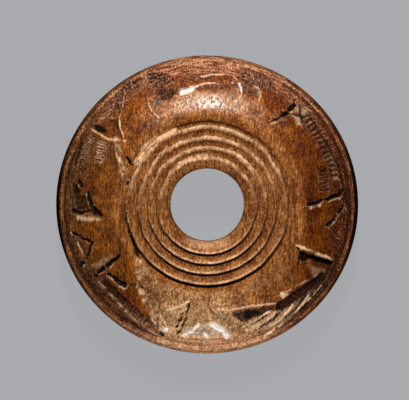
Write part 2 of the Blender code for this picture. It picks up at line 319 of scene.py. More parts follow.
# Flaked and broken patches: corners clockwise, depth, the azimuth they are deepest towards (or None),
# how wide the broken edge is, and how strong each look is in them.
FLAKES = (
    # the lobe before the notch at the upper right
    (((5.2, 10.8), (6.3, 10.8), (7.7, 9.95), (7.25, 9.05), (5.95, 7.9), (5.1, 9.25), (5.0, 10.2)),
     0.14, 120, 0.45, {"red": 0.75}),
    # the broken ground after it
    (((7.6, 8.65), (8.55, 9.25), (9.1, 8.65), (9.45, 7.95), (8.7, 7.0), (7.8, 7.55)),
     0.22, 300, 0.18, {"chipped": 0.8}),
    (((7.95, 9.3), (8.5, 9.2), (8.5, 8.6), (8.0, 8.45)), 0.06, 200, 0.1, {"pale": 0.3}),
    (((8.65, 9.1), (9.3, 8.7), (9.05, 8.1), (8.7, 8.4)), 0.08, 60, 0.1, {"pale": 0.34}),
    (((8.05, 8.2), (8.6, 8.0), (8.75, 7.2), (8.2, 7.3)), 0.06, 30, 0.1, {"pale": 0.34}),
    (((5.9, 7.35), (7.1, 7.65), (7.7, 7.2), (7.4, 6.6), (6.3, 6.6)),
     0.0, None, 0.5, {"pale": 0.04}),
    # the top: the rubbed part of the band, paler partly from wear and partly as painted sheen round the
    # highlight, the recess in it, the glossy facet beside it with a painted glint, and the flaked strip
    (((-4.6, 8.5), (-3.2, 9.9), (-1.2, 10.9), (1.4, 10.9), (3.4, 10.4), (4.8, 8.8), (3.4, 8.0), (0.0, 8.7),
      (-3.2, 8.2)), 0.0, None, 0.9, {"pale": 0.12}),
    (((-1.0, 10.95), (0.3, 11.15), (1.6, 11.05), (1.8, 10.5), (0.4, 10.4), (-0.9, 10.5)),
     0.2, 0, 0.14, {"dark": 0.65}),
    (((-2.6, 10.5), (-1.9, 10.8), (-1.0, 10.9), (-1.05, 10.4), (-1.8, 10.1), (-2.5, 10.0)),
     0.16, 180, 0.1, {"pale": 0.35, "gloss_and_glint": 0.78}),
    (((-2.6, 11.9), (-0.6, 11.9), (-0.6, 11.3), (-2.5, 11.2)), 0.08, None, 0.15, {"chipped": 0.6}),
    # the round chip on its right, then the flaked ground and the grey facets round that
    (((2.05, 10.6), (2.5, 10.9), (3.05, 10.5), (3.0, 9.9), (2.6, 9.65), (2.25, 10.0)),
     0.08, 90, 0.25, {"pale": 0.1}),
    (((1.6, 11.4), (3.3, 11.3), (5.2, 10.8), (4.9, 9.7), (3.6, 9.8), (3.1, 10.6), (2.0, 10.8)),
     0.06, None, 0.3, {"chipped": 0.8}),
    (((2.4, 12.5), (4.0, 12.5), (6.2, 11.5), (6.4, 10.7), (5.3, 10.3), (4.6, 10.6), (3.4, 11.2)),
     0.04, None, 0.25, {"chipped": 0.8, "dark": 0.4}),
    (((4.2, 11.5), (4.8, 11.1), (4.65, 10.65), (4.2, 10.8)), 0.1, 30, 0.1, {"grey": 1.0}),
    (((4.3, 10.4), (4.95, 10.4), (4.95, 9.8), (4.5, 9.85)), 0.1, 60, 0.12, {"grey": 0.8}),
    # the flaked ground at the top left, with its dark spots and a grey facet
    (((-5.7, 12.2), (-2.7, 11.9), (-3.1, 10.3), (-4.2, 9.6), (-5.2, 9.6), (-5.5, 10.7)),
     0.14, None, 0.2, {"chipped": 0.8}),
    (((-5.5, 12.2), (-3.5, 12.1), (-3.6, 11.4), (-5.3, 11.2)), 0.16, 0, 0.12, {"dark": 0.95}),
    (((-4.7, 10.7), (-2.7, 10.7), (-3.2, 9.8), (-4.2, 9.4)), 0.14, 0, 0.12, {"dark": 0.95}),
    (((-5.35, 9.75), (-3.8, 9.7), (-4.2, 9.0), (-4.9, 8.8)),
     0.12, 250, 0.12, {"grey": 0.7, "dark": 0.45}),
    (((-7.55, 11.6), (-6.1, 11.5), (-6.45, 10.6), (-7.7, 10.0), (-7.95, 8.5), (-9.3, 8.3),
      (-9.05, 9.45)), 0.08, None, 0.22, {"chipped": 0.8}),
    (((-7.55, 11.6), (-6.1, 11.5), (-6.4, 10.6), (-7.4, 10.5)), 0.1, None, 0.22, {"dark": 0.55}),
    # the pocket at the upper left, and its black pit
    (((-9.95, 7.85), (-8.2, 8.0), (-8.2, 7.0), (-7.9, 6.1), (-9.2, 6.2), (-10.6, 6.9)),
     0.2, 280, 0.14, {"red": 0.1}),
    (((-10.45, 7.35), (-9.8, 7.3), (-9.2, 6.85), (-9.25, 6.45), (-9.85, 6.55), (-10.3, 6.85)),
     0.34, None, 0.08, {"dirt_and_shadow": 1.0}),
    # the stained strip beside the combing at the left
    (((-11.9, 6.0), (-11.4, 5.8), (-11.7, 4.4), (-12.1, 3.2), (-12.5, 3.4), (-12.2, 4.8)),
     0.04, None, 0.25, {"dark": 0.9, "grey": 0.25}),
    # the notch at the left: its dark ground, black wedge and pale sill, and the reddish chip over it
    (((-12.5, 1.9), (-11.9, 1.9), (-11.7, 1.0), (-12.4, 0.8)), 0.2, None, 0.16, {"dirt_and_shadow": 0.95}),
    (((-12.4, 1.0), (-11.0, 1.0), (-10.8, -0.6), (-12.3, -0.8)), 0.24, None, 0.25, {"dark": 0.9}),
    (((-10.8, 0.0), (-10.3, -0.2), (-9.5, -0.95), (-9.55, -1.15), (-10.4, -1.05), (-10.7, -0.75)),
     0.45, None, 0.12, {"dirt_and_shadow": 1.0}),
    (((-12.2, -0.95), (-10.5, -1.05), (-9.55, -1.25), (-9.7, -1.65), (-12.2, -1.55)),
     0.1, 0, 0.2, {"pale": 0.42, "chipped": 0.5}),
    (((-11.0, 2.7), (-10.4, 2.7), (-10.3, 1.5), (-10.9, 1.3)), 0.08, 270, 0.16, {"red": 0.5}),
    # the pale ground over the notch at the lower left
    (((-10.9, -5.45), (-9.05, -4.55), (-8.45, -4.7), (-9.25, -5.45), (-10.1, -6.15), (-10.7, -6.05)),
     0.08, 0, 0.3, {"pale": 0.12, "chipped": 0.5}),
    # the black wedge of the notch at the lower right, and the paler ground under it
    (((8.45, -4.2), (9.1, -4.4), (10.2, -4.8), (11.7, -5.2), (11.6, -5.7), (10.4, -5.4),
      (9.3, -5.1), (8.8, -5.4), (8.4, -4.95)), 0.48, None, 0.1, {"dirt_and_shadow": 1.0}),
    (((9.0, -5.45), (11.0, -5.8), (11.1, -6.3), (9.7, -6.7)), 0.06, 0, 0.3, {"pale": 0.14}),
    # the dark wedge at the lower right, its black pits, the pale chip over it and the ground of the slivers
    (((2.1, -9.85), (3.5, -9.65), (5.0, -9.45), (6.3, -9.3), (6.2, -9.75), (4.8, -10.4),
      (3.3, -11.0), (2.75, -10.8)), 0.26, 0, 0.14, {"dark": 0.9}),
    (((3.3, -9.85), (4.4, -9.65), (5.1, -9.7), (4.9, -10.2), (3.8, -10.6), (3.2, -10.5)),
     0.34, 0, 0.14, {"dirt_and_shadow": 1.0}),
    (((2.3, -9.95), (3.1, -9.9), (3.2, -10.5), (2.9, -10.7)), 0.3, 0, 0.14, {"dirt_and_shadow": 0.9}),
    (((6.2, -9.25), (6.9, -9.2), (6.8, -9.85), (6.25, -9.8)), 0.36, None, 0.14, {"dirt_and_shadow": 1.0}),
    (((6.6, -8.0), (7.6, -8.2), (7.0, -8.95)), 0.12, None, 0.1, {"pale": 1.0}),
    (((3.3, -11.3), (5.9, -9.95), (7.8, -9.35), (7.9, -9.8), (5.9, -11.3), (3.6, -11.8)),
     0.08, None, 0.15, {"pale": 0.34}),
    (((7.8, -9.35), (9.3, -8.3), (9.8, -8.5), (8.1, -10.4), (6.2, -11.6), (5.9, -11.3),
      (7.0, -10.3)), 0.05, None, 0.2, {"pale": 0.24}),
    # the foot of the face: two facets, a darker patch, the small arch and a stained corner
    (((-4.7, -9.35), (-3.9, -9.75), (-3.1, -10.3), (-2.5, -10.7), (-3.1, -11.3), (-3.9, -11.1),
      (-4.5, -10.2)), 0.14, 60, 0.1, {"dark": 0.3}),
    (((-3.9, -11.1), (-2.8, -11.2), (-2.8, -11.8), (-3.6, -12.1)), 0.06, 60, 0.12, {"pale": 0.34}),
    (((0.4, -9.9), (2.2, -10.0), (2.7, -11.3), (1.4, -11.0), (0.5, -10.6)),
     0.03, None, 0.3, {"dark": 0.3}),
    (((-0.8, -11.9), (-0.25, -11.4), (0.4, -11.7), (0.1, -12.1), (-0.6, -12.2)),
     0.16, 0, 0.08, {"dark": 0.9}),
    (((-2.6, -11.3), (-0.5, -10.9), (1.8, -11.0), (2.6, -12.0), (0.5, -12.5), (-2.4, -12.3)),
     0.02, None, 0.4, {"gloss_and_glint": 0.15, "pale": 0.2}),
    (((-5.4, -10.6), (-4.8, -10.4), (-4.2, -11.8), (-5.1, -11.7)),
     0.12, None, 0.18, {"dark": 0.3, "red": 0.4}),
)

# The crack that runs down the left of the rings and on through the foot of the face: the line of each
# stretch, its half width and how black the dirt in it is.
CRACK = (
    (((-8.35, 6.0), (-8.15, 4.4), (-7.7, 2.9), (-7.4, 1.85)), 0.09, 0.5),
    (((-7.45, 4.3), (-6.9, 3.65)), 0.13, 1.0),
    (((-7.55, -0.5), (-7.5, -1.2), (-7.2, -2.5), (-6.95, -3.2)), 0.08, 0.95),
    (((-6.95, -3.2), (-6.6, -4.1), (-6.25, -4.95)), 0.14, 1.0),
    (((-6.35, -5.25), (-6.5, -6.2), (-6.25, -7.5)), 0.1, 0.6),
    (((-6.25, -7.5), (-5.7, -9.0), (-4.95, -10.5), (-4.0, -11.8)), 0.09, 0.55),
)

# Where the polish is worn off the foot of the face.
WORN_FOOT = (
    (-6.2, -5.0), (-6.35, -6.75), (-5.7, -9.0), (-4.6, -11.1), (-4.6, -13.2), (0.0, -14.2), (5.0, -13.2),
    (7.6, -10.6), (9.0, -8.6), (8.6, -6.6), (7.0, -5.6), (6.2, -5.6), (4.4, -7.1), (2.3, -7.9), (0.0, -8.2),
    (-2.3, -7.9), (-4.4, -7.1),
)


def patch(corners, x, y):
    """The distance inside a patch from its nearest side, and less than 0 outside it."""
    within = np.zeros(x.shape, bool)
    for (x0, y0), (x1, y1) in zip(corners, corners[1:] + corners[:1]):
        if y0 != y1:
            crossing = x0 + (y - y0) * (x1 - x0) / (y1 - y0)
            within ^= ((y0 > y) != (y1 > y)) & (x < crossing)
    distance = np.abs(along(corners + corners[:1], x, y)[1])
    return np.where(within, distance, -distance)


def turned_profile():
    """Radii and depths of the turned face from the bore to the border, closely spaced, its edges eased."""
    points = list(BORE_MOUTH)
    depth = COLLAR_DEPTH
    for crest, following in zip(RING_CRESTS, RING_CRESTS[1:]):
        points.append((crest, depth))
        foot, foot_depth = crest + STEP_RUN, depth + STEP_DROP
        depth = foot_depth - RING_RISE
        run = following - CREST_WIDTH - foot
        for share in np.linspace(0.0, 1.0, 5):
            points.append((foot + run * share, foot_depth - RING_RISE * share**RING_CURVE))
    points.append((RING_CRESTS[-1], depth))
    foot = (RING_CRESTS[-1] + LAST_STEP_RUN, depth + LAST_STEP_DROP)
    points.append(foot)
    for share in np.linspace(0.2, 1.0, 5):
        rise = (foot[1] - BAND_CREST_DEPTH) * (1 - (1 - share) ** VALLEY_CURVE)
        points.append((foot[0] + (BAND_CREST - foot[0]) * share, foot[1] - rise))
    for share in np.linspace(0.08, 1.0, 14):
        fall = DOME_FALL * share**DOME_CURVE
        points.append((BAND_CREST + (BORDER - BAND_CREST) * share, BAND_CREST_DEPTH + fall))
    points.append((LEDGE_END, points[-1][1] + LEDGE_FALL))
    radii = np.arange(BORE_RADIUS, LEDGE_END + PROFILE_STEP / 2, PROFILE_STEP)
    depths = np.interp(radii, *zip(*points))
    for radius, half_width, dip in RIM_LINES:
        depths += dip * np.clip(1 - np.abs(radii - radius) / half_width, 0.0, 1.0)
    reach = np.arange(-EASED_STEPS, EASED_STEPS + 1)
    kernel = np.exp(-((reach / EASING) ** 2) / 2)
    eased = np.convolve(np.pad(depths, EASED_STEPS, mode="edge"), kernel / kernel.sum(), mode="valid")
    return radii, eased


PROFILE = turned_profile()


def turned_height(radius):
    """The height of the turned face above the underside, out to the widest point."""
    height = TOP - np.interp(radius, *PROFILE)
    roll = np.clip((radius - LEDGE_END) / (RADIUS - LEDGE_END), 0.0, 1.0)
    ledge_height = TOP - PROFILE[1][-1]
    rolled = EDGE_HEIGHT + (ledge_height - EDGE_HEIGHT) * np.sqrt(1 - roll**2)
    return np.where(radius > LEDGE_END, rolled, height)


# The looks that a place on the face can have. The material reads them by these names.
LOOKS = ("worn", "gloss_and_glint", "dirt_and_shadow", "pale", "red", "grey", "dark", "chipped", "pits")


class Face:
    """The relief and the colouring of the carved face at a set of places."""

    def __init__(self, x, y, radius):
        self.x, self.y, self.radius = x, y, radius
        self.azimuth = np.degrees(np.arctan2(x, y)) % 360
        # How deep each place is cut, and how strong each look is there.
        self.cut = np.zeros(x.shape)
        self.looks = {name: np.zeros(x.shape) for name in LOOKS}
        # The same places moved about a little, which makes cut edges ragged, and a mask with gaps in it.
        self.rough_x = x + 0.07 * Noise(0.28, 0.42, 1)(x, y) + 0.06 * Noise(0.11, 0.16, 3)(x, y)
        self.rough_y = y + 0.07 * Noise(0.28, 0.42, 2)(x, y) + 0.06 * Noise(0.11, 0.16, 4)(x, y)
        self.broken = 0.15 + 0.85 * smooth(-0.35, 0.35, Noise(0.40, 0.40, 5)(x, y))

    def lengthways(self, turn=0):
        """1 at the top of the face and -1 at its foot, or that many degrees anticlockwise of them."""
        return np.cos(np.radians(self.azimuth + turn))

    def sideways(self, turn=0):
        """1 at the right and the left, 0 at the top and the foot, or that many degrees anticlockwise."""
        return np.abs(np.sin(np.radians(self.azimuth + turn)))

    def look(self, name, amount):
        """Lays a look on the face where it is stronger there than what is on it."""
        self.looks[name] = np.maximum(self.looks[name], amount)

    def groove(self, line, half_start, half_end, depth, black):
        """A knife cut with leaning walls, black dirt in it and pale edges; the lower edge, which faces the
        light, is paler as a painted highlight.
        """
        share, side, rise = along(line, self.rough_x, self.rough_y)
        across = np.abs(side) / (half_start + (half_end - half_start) * share) / 1.2
        wall = np.clip(1.1 - across, 0.0, 1.0)
        self.cut = np.maximum(self.cut, depth * wall**0.6)
        self.look("dirt_and_shadow", black * smooth(0.0, 0.22, wall))
        # Pale edges, partly wear; the lower edge, which faces the light, is paler still as a painted
        # highlight.
        edge = between(0.75, 1.1, 1.15, 1.7, across)
        self.look("pale", edge * self.broken * min(1.0, depth / 0.4) * np.where(rise < 0, 0.5, 0.08))

    def edge(self, line, half, pale, stand):
        """A worn edge that stands up a little, with gaps in it and clean of dirt and painted shadow, pale
        partly as a painted highlight, and with a painted white glint where it stands proud.
        """
        wavy = 0.35 if half < THIN_EDGE else 1.0
        wavy_x, wavy_y = self.x + wavy * (self.rough_x - self.x), self.y + wavy * (self.rough_y - self.y)
        side = np.abs(along(line, wavy_x, wavy_y)[1])
        core = 1 - smooth(0.3 * half, 1.3 * half, side)
        core = core * (self.broken if pale < UNBROKEN_EDGE else 1)
        self.cut = self.cut * (1 - 0.6 * core) - 0.5 * stand * core
        self.looks["dirt_and_shadow"] = self.looks["dirt_and_shadow"] * (1 - core)
        self.look("pale", pale * core)
        # A proud edge gets a painted white glint as well as a glossy coat.
        if stand > PROUD_EDGE:
            self.look("gloss_and_glint", core)

    def channel(self, line, half_start, half_end, depth, teeth, lean, dirt):
        """A combed channel, deeper towards the rim, with dirty gaps between its teeth."""
        share, side, rise = along(line, self.rough_x, self.rough_y)
        (x0, y0), (x1, y1) = line[:2]
        inward = side * (1 if x0 * (y1 - y0) - y0 * (x1 - x0) < 0 else -1)
        half = half_start + (half_end - half_start) * share
        length = sum(math.dist(a, b) for a, b in zip(line, line[1:]))
        ends = between(0.0, 0.02, 0.98, 1.0, share)
        across = np.abs(inward) / half
        floor = ends * (1 - smooth(0.85, 1.1, across))
        turn = (share * length + inward * math.tan(math.radians(lean))) * teeth / length
        turn = turn + 0.22 * Noise(0.7, 0.7, 6)(self.x, self.y)
        tooth = 0.5 + 0.5 * np.cos(2 * np.pi * turn)
        black = np.interp(share, (0.0, 0.5, 1.0), dirt)
        sunk = depth * (0.7 + 0.3 * np.clip(inward / half, -1, 1)) + (0.18 - 0.14 * black) * tooth
        self.cut = np.maximum(self.cut, floor * sunk)
        gap = np.where(black > 0.95, 0.58 + 0.42 * tooth, smooth(0.35, 0.8, tooth))
        self.look("dirt_and_shadow", floor * black * gap)
        self.look("red", 0.6 * floor)
        clean = np.clip(3 * (1 - black) - 0.8 * share, 0.10, 1.0)
        self.look("pale", 0.42 * clean * floor * (1 - gap) * (0.3 + 0.7 * self.broken))
        # A pale edge round the channel, partly wear, and paler on the lower side, which faces the light, as
        # a painted highlight.
        edge = ends * between(0.85, 1.1, 1.1, 1.5, across)
        self.look("pale", edge * self.broken * np.where(rise < 0, 0.12, 0.02))

    def flake(self, corners, depth, deep_towards, edge, looks):
        """A patch that is broken or stained, deepest towards one side."""
        within = smooth(0.0, edge, patch(corners, self.rough_x, self.rough_y))
        if deep_towards is not None:
            turn = math.radians(deep_towards)
            lean = np.array((math.sin(turn), math.cos(turn)))
            reach = np.array(corners) @ lean
            share = (self.x * lean[0] + self.y * lean[1] - reach.min()) / (reach.max() - reach.min())
            depth = depth * (0.15 + 0.85 * np.clip(share, 0.0, 1.0))
        self.cut = np.maximum(self.cut, depth * within + 0.3 * self.cut * within)
        for name, amount in looks.items():
            self.look(name, amount * within)

    def crack(self):
        """The crack, black where it is open, and with patchy pale lips where it is not."""
        for line, half_width, dirt in CRACK:
            side = np.abs(along(line, self.rough_x, self.rough_y)[1])
            wall = np.clip(1.1 - side / half_width, 0.0, 1.0) * (self.broken if dirt < 0.9 else 1)
            self.cut = np.maximum(self.cut, 0.35 * wall * (0.4 + 0.6 * dirt))
            self.look("dirt_and_shadow", smooth(0.0, 0.3, wall) if dirt > 0.9 else dirt * smooth(0.3, 0.7, wall))
            lips = (1 - smooth(1.5 * half_width, 3.6 * half_width, side)) * (1 - dirt)
            patchy = smooth(-0.2, 0.4, Noise(0.22, 0.34, 8)(self.x, self.y))
            self.look("pale", 1.3 * lips * (0.12 + 0.88 * patchy))

    def carve(self):
        """Wears the foot of the face, then breaks, cuts and cracks it, and rubs its edges."""
        worn = smooth(-0.25, 0.35, patch(WORN_FOOT, self.rough_x, self.rough_y))
        lower = smooth(9.6, 10.8, -self.rough_y)
        worn = worn * (1 - 0.75 * smooth(0.0, 6.0, self.rough_x) * (1 - 0.6 * lower))
        self.look("worn", worn * (0.52 + 0.48 * smooth(8.8, 11.2, -self.rough_y)))
        for flake in FLAKES:
            self.flake(*flake)
        for groove in GROOVES:
            self.groove(*groove)
        for channel in CHANNELS:
            self.channel(*channel)
        self.crack()
        for edge in EDGES:
            self.edge(*edge)

    def ring_looks(self, turned, patchy):
        """Crests and steps of the rings. The crests are pale towards the top and the foot of the face,
        partly wear and partly painted highlight where they face the lights; the steps hold a little dirt all
        round and painted shadow, blackest towards the foot; and painted shade lies on the crests at the
        sides, on the slopes and step feet towards the top, and on the treads towards the foot.
        """
        upper, lower = np.clip(self.lengthways(), 0, 1), np.clip(-self.lengthways(), 0, 1)
        sideways = self.sideways(15) ** 3
        dashes = smooth(0.25, 0.75, Noise(0.11, 0.45, 9)(self.x, self.y))
        for crest in RING_CRESTS:
            out = turned - crest
            run = LAST_STEP_RUN if crest == RING_CRESTS[-1] else STEP_RUN
            above = between(-0.33, -0.19, 0.0, 0.14, out)
            below = between(-0.26, -0.06, -0.02, 0.04, out)
            # Pale on the crests towards the top and below them towards the foot of the face: partly wear,
            # partly a painted highlight where they face the lights.
            share = 0.02 + (0.62 if crest == RING_CRESTS[0] else 0.76) * upper**0.8
            self.look("pale", above * share * (0.85 + 0.7 * patchy))
            # Painted shade: the crests are darker at the sides, where the lights along the grain reach
            # least.
            self.look("dark", 0.40 * (above + below).clip(0, 1) * sideways)
            self.look("pale", 0.34 * smooth(-0.5, -0.3, out) * below.clip(above) * dashes * sideways)
            # Pale below the crests towards the foot: partly wear, partly painted highlight.
            self.look("pale", below * (0.03 + 0.75 * lower**2) * (0.85 + 0.6 * patchy))
            # Black in each step: a little dirt all round, and painted shadow, blackest towards the foot of
            # the face and faint towards its top.
            step = between(0.0, 0.06, run + 0.02, run + 0.12, out)
            self.look("dirt_and_shadow", step * (0.12 + 0.95 * lower**0.55) * (1 - 0.8 * upper))
            # Painted shade on the slopes towards the top, which face away from the key light, on the treads
            # towards the foot, in the shadow of the steps, and on the step feet towards the top.
            slope = between(-0.75, -0.50, -0.28, -0.12, out)
            self.look("dark", 0.35 * slope * upper)
            tread = between(0.20, 0.28, 0.42, 0.58, out)
            self.look("dark", 0.5 * tread * lower * (crest < RING_CRESTS[-1]))
            wall = between(0.05, 0.14, run + 0.05, run + 0.16, out)
            self.look("dark", 0.35 * wall * upper)

    def border_and_collar_looks(self, turned):
        """Painted shade in the outermost turned line, strongest at the sides, and on the collar towards the
        top left, with a painted highlight on the collar at the foot.
        """
        # Painted shade: black in the outermost turned line, strongest at the sides, where the lights along
        # the grain reach least.
        line = 1 - smooth(0.04, 0.16, np.abs(turned - RIM_LINES[-1][0]))
        self.look("dirt_and_shadow", 0.65 * line * np.clip(1.3 * self.sideways(10) - 0.25, 0, 1))
        # The collar's inner slope is darker towards the top left and paler at the foot: painted shade where
        # it faces away from the key light, and painted highlight where it faces it.
        collar = 1 - smooth(4.0, 4.3, self.radius)
        self.look("dark", collar * 0.32 * smooth(-0.6, 0.2, self.lengthways(30)))
        self.look("pale", collar * 0.30 * smooth(0.75, 0.97, -self.lengthways()))

    def height(self):
        """Heights in millimetres, with the ragged turning, the fibres of the bone and its pits."""
        x, y, radius = self.x, self.y, self.radius
        fibre = Noise(0.13, 1.1, 11)(x, y) + 0.6 * Noise(0.08, 0.4, 12)(x, y)
        torn = 0.5 * Noise(0.34, 1.1, 13)(x, y) + Noise(1.0, 1.6, 17)(x, y)
        foot = smooth(0.2, 0.8, -self.lengthways())
        ragged = (0.06 * torn + 0.04 * fibre) * (1 - 0.7 * foot) * (1 + self.sideways() ** 2)
        ragged = ragged * (1 - smooth(8.0, 9.0, radius) * 0.6)
        turned = radius + ragged
        base = turned_height(np.clip(radius + ragged * (1 - smooth(13.0, 13.6, radius)), 0, RADIUS))

        # The polished band is smoother than the rings and the border, save where it is worn.
        rough = 1 - 0.65 * between(8.2, 8.8, 11.6, 12.2, radius)
        rough = np.maximum(rough, self.looks["worn"])
        lumps = LUMP_HEIGHT * Noise(0.9, 1.3, 14)(x, y) + rough * LUMP_HEIGHT * Noise(0.22, 0.3, 15)(x, y)
        pitted = smooth(0.55, 0.95, Noise(0.14, 0.24, 16)(x, y))
        flaky = Noise(0.11, 3.0, 18)(radius, 9 * np.sin(np.radians(self.azimuth)))
        flaky = BORDER_FLAKE_HEIGHT * flaky * smooth(11.8, 12.4, radius)
        self.ring_looks(turned, 0.6 * Noise(0.8, 0.8, 19)(x, y) + 0.8 * Noise(0.12, 0.22, 20)(x, y))
        self.border_and_collar_looks(turned)
        self.looks["pits"] = pitted * rough
        sunk = self.cut + PIT_DEPTH * rough * pitted
        raised = lumps + flaky + FIBRE_HEIGHT * rough * fibre
        fade = 1 - smooth(13.3, 13.9, radius)
        return base - fade * sunk + fade * raised - FACE_SINK


def polar_places(radii, columns):
    """Rows of places round the whorl, (x, y, turned radius), each row clockwise from +Y."""
    turn = np.arange(columns) / columns * math.tau
    radius, angle = np.meshgrid(radii, turn, indexing="ij")
    wander = EDGE_WANDER * (1 + Noise(40.0, 40.0, 21)(angle * 8, radius * 0))
    round_share = 1 - wander * smooth(12.0, 14.0, radius)
    x = radius * np.sin(angle) * round_share
    y = radius * np.cos(angle) * OVAL * round_share + RING_SHIFT * (1 - smooth(8.0, 13.5, radius))
    return x, y, radius


def row_radii(start, runs):
    """The radii of rows that go out from start, each run of them evenly spaced up to its own end."""
    radii = []
    for end, count in runs:
        radii += list(np.linspace(start, end, count + 1)[:-1])
        start = end
    return radii + [start]


def section_rows(points, columns):
    """Rows of a plain turned stretch given by (radius, height) points."""
    turn = np.arange(columns) / columns * math.tau
    rows = []
    for radius, height in points:
        x, y = radius * np.sin(turn), radius * np.cos(turn) * OVAL
        lump = Noise(1.2, 1.6, 31)(x, y + height)
        inset = 1 - SIDE_WANDER * (1 + lump) * (radius > 10)
        rows.append(np.column_stack([x * inset, y * inset, np.full(columns, height)]))
    return rows


def side_points():
    """The rounded side as (radius, height), from under the widest point down to the flat underside."""
    roll = RADIUS - UNDERSIDE_FLAT
    angles = np.radians(np.linspace(0, -90, SIDE_ROWS + 1)[1:])
    return [(UNDERSIDE_FLAT + roll * math.cos(a), EDGE_HEIGHT + EDGE_HEIGHT * math.sin(a)) for a in angles]


def bridge(first, first_count, second, second_count):
    """Faces between two closed rows; one row may have twice the columns of the other."""
    faces = []
    if first_count == second_count:
        for i in range(first_count):
            j = (i + 1) % first_count
            faces.append((first + i, first + j, second + j, second + i))
    elif second_count == 2 * first_count:
        for i in range(first_count):
            j, middle = (i + 1) % first_count, second + 2 * i + 1
            end = second + (2 * i + 2) % second_count
            faces.append((first + i, middle, second + 2 * i))
            faces.append((first + i, first + j, middle))
            faces.append((first + j, end, middle))
    else:
        faces = [face[::-1] for face in bridge(second, second_count, first, first_count)]
    return faces


def whorl_mesh():
    """One closed mesh: up the bore, out over the face, round the edge and in under the whorl."""
    rows, looks = [], []

    def add_face_rows(radii, columns):
        x, y, radius = polar_places(radii, columns)
        face = Face(x.ravel(), y.ravel(), radius.ravel())
        face.carve()
        height = face.height().reshape(x.shape)
        for row in range(len(radii)):
            rows.append(np.column_stack([x[row], y[row], height[row]]))
            looks.append({name: values.reshape(x.shape)[row] for name, values in face.looks.items()})

    def add_plain_rows(points, columns):
        for row in section_rows(points, columns):
            rows.append(row)
            looks.append({})

    wall_top = TOP - BORE_WALL_DEPTH
    add_plain_rows([(BORE_WALL_RADIUS, wall_top * share) for share in BORE_WALL_ROWS], PLAIN_COLUMNS)
    add_face_rows(row_radii(BORE_RADIUS, RING_ROWS), RING_COLUMNS)
    add_face_rows(row_radii(BAND_START, BAND_ROWS), BAND_COLUMNS)
    side = side_points()
    add_plain_rows(side[:UPPER_SIDE_ROWS], RING_COLUMNS)
    add_plain_rows(side[UPPER_SIDE_ROWS:], PLAIN_COLUMNS)
    add_plain_rows(UNDERSIDE, PLAIN_COLUMNS)

    starts = np.concatenate([[0], np.cumsum([len(row) for row in rows])])
    faces = []
    for index in range(len(rows)):
        following = (index + 1) % len(rows)
        faces += bridge(int(starts[index]), len(rows[index]), int(starts[following]), len(rows[following]))
    mesh = bpy.data.meshes.new("whorl_carved")
    mesh.from_pydata((np.concatenate(rows) * MM).tolist(), [], faces)
    mesh.validate()
    mesh.update()
    for name in LOOKS:
        values = np.concatenate([look.get(name, np.zeros(len(row))) for row, look in zip(rows, looks)])
        mesh.attributes.new(name, "FLOAT", "POINT").data.foreach_set("value", values.astype(np.float32))
    mesh.shade_smooth()
    return mesh


class Link:
    """A shader socket on which Python's operators work, each adding one Math node."""

    def __init__(self, socket):
        self.socket = socket

    def maths(self, operation, *values):
        return add_node(self.socket.id_data, "ShaderNodeMath", {"operation": operation}, values)

    def __add__(self, other):
        return self.maths("ADD", self, other)

    __radd__ = __add__

    def __mul__(self, other):
        return self.maths("MULTIPLY", self, other)

    __rmul__ = __mul__

    def __sub__(self, other):
        return self.maths("SUBTRACT", self, other)

    def __rsub__(self, other):
        return self.maths("SUBTRACT", other, self)

    def __pow__(self, other):
        return self.maths("POWER", self, other)

    def __abs__(self):
        return self.maths("ABSOLUTE", self)

    def clipped(self):
        return add_node(self.socket.id_data, "ShaderNodeClamp", {}, {"Value": self})

    def ramp(self, low, high):
        """0 where the value is under low, 1 where it is over high, with an even ramp between them."""
        settings = {"interpolation_type": "SMOOTHSTEP"}
        sockets = {"Value": self, "From Min": low, "From Max": high}
        return add_node(self.socket.id_data, "ShaderNodeMapRange", settings, sockets)


def add_node(tree, kind, settings, sockets, output=0):
    """Adds a node of that kind: its settings first, then the values or links of its sockets."""
    node = tree.nodes.new(kind)
    for name, value in settings.items():
        setattr(node, name, value)
    pairs = sockets.items() if isinstance(sockets, dict) else enumerate(sockets)
    for name, value in pairs:
        if isinstance(value, Link):
            tree.links.new(value.socket, node.inputs[name])
        else:
            node.inputs[name].default_value = value
    return Link(node.outputs[output])


def tint(red, green, blue):
    """A colour as a screen shows it, 0 to 255, turned into light."""
    shares = [value / 255 for value in (red, green, blue)]
    linear = [share / 12.92 if share < 0.04045 else ((share + 0.055) / 1.055) ** 2.4 for share in shares]
    return (*linear, 1.0)


# The bone's colours: the turned rings, the polished band and its two sides, the rubbed top of it with its
# painted sheen,
TURNED_DARK = tint(116, 60, 20)
TURNED_PALE = tint(164, 104, 48)
POLISHED_DARK = tint(92, 36, 2)
POLISHED_GOLD = tint(176, 96, 20)
BAND_RED = tint(84, 28, 6)
BAND_OLIVE = tint(128, 86, 42)
RUBBED_SHEEN_DARK = tint(148, 92, 52)
RUBBED_SHEEN_PALE = tint(192, 140, 98)
# the worn foot of the face, the border, black at its sides as painted shade and pink at the top and the foot
# as painted sheen, and its lip,
WORN_DARK = tint(134, 92, 48)
WORN_BUFF = tint(196, 152, 108)
RIM_PURPLE = tint(98, 38, 18)
RIM_BLACK = tint(40, 12, 4)
RIM_PINK = tint(200, 136, 98)
LIP_GOLD = tint(178, 104, 44)
# and the chipped ground, the lobe before the upper right notch, edges pale partly as painted highlight, a
# painted glint, dirt and painted shadow, stains and painted shade.
CHIP_DARK = tint(40, 16, 10)
CHIP_PINK = tint(150, 92, 66)
LOBE_DARK = tint(66, 20, 8)
LOBE_RED = tint(116, 48, 26)
EDGE_PALE = tint(246, 200, 152)
PAINTED_GLINT_WHITE = tint(236, 226, 216)
DIRT_AND_SHADOW_BLACK = tint(16, 9, 5)
STAIN_AND_SHADE_BLACK = tint(38, 18, 9)
STAIN_AND_SHADE_BROWN = tint(84, 48, 26)
STONE_GREY = tint(122, 108, 92)


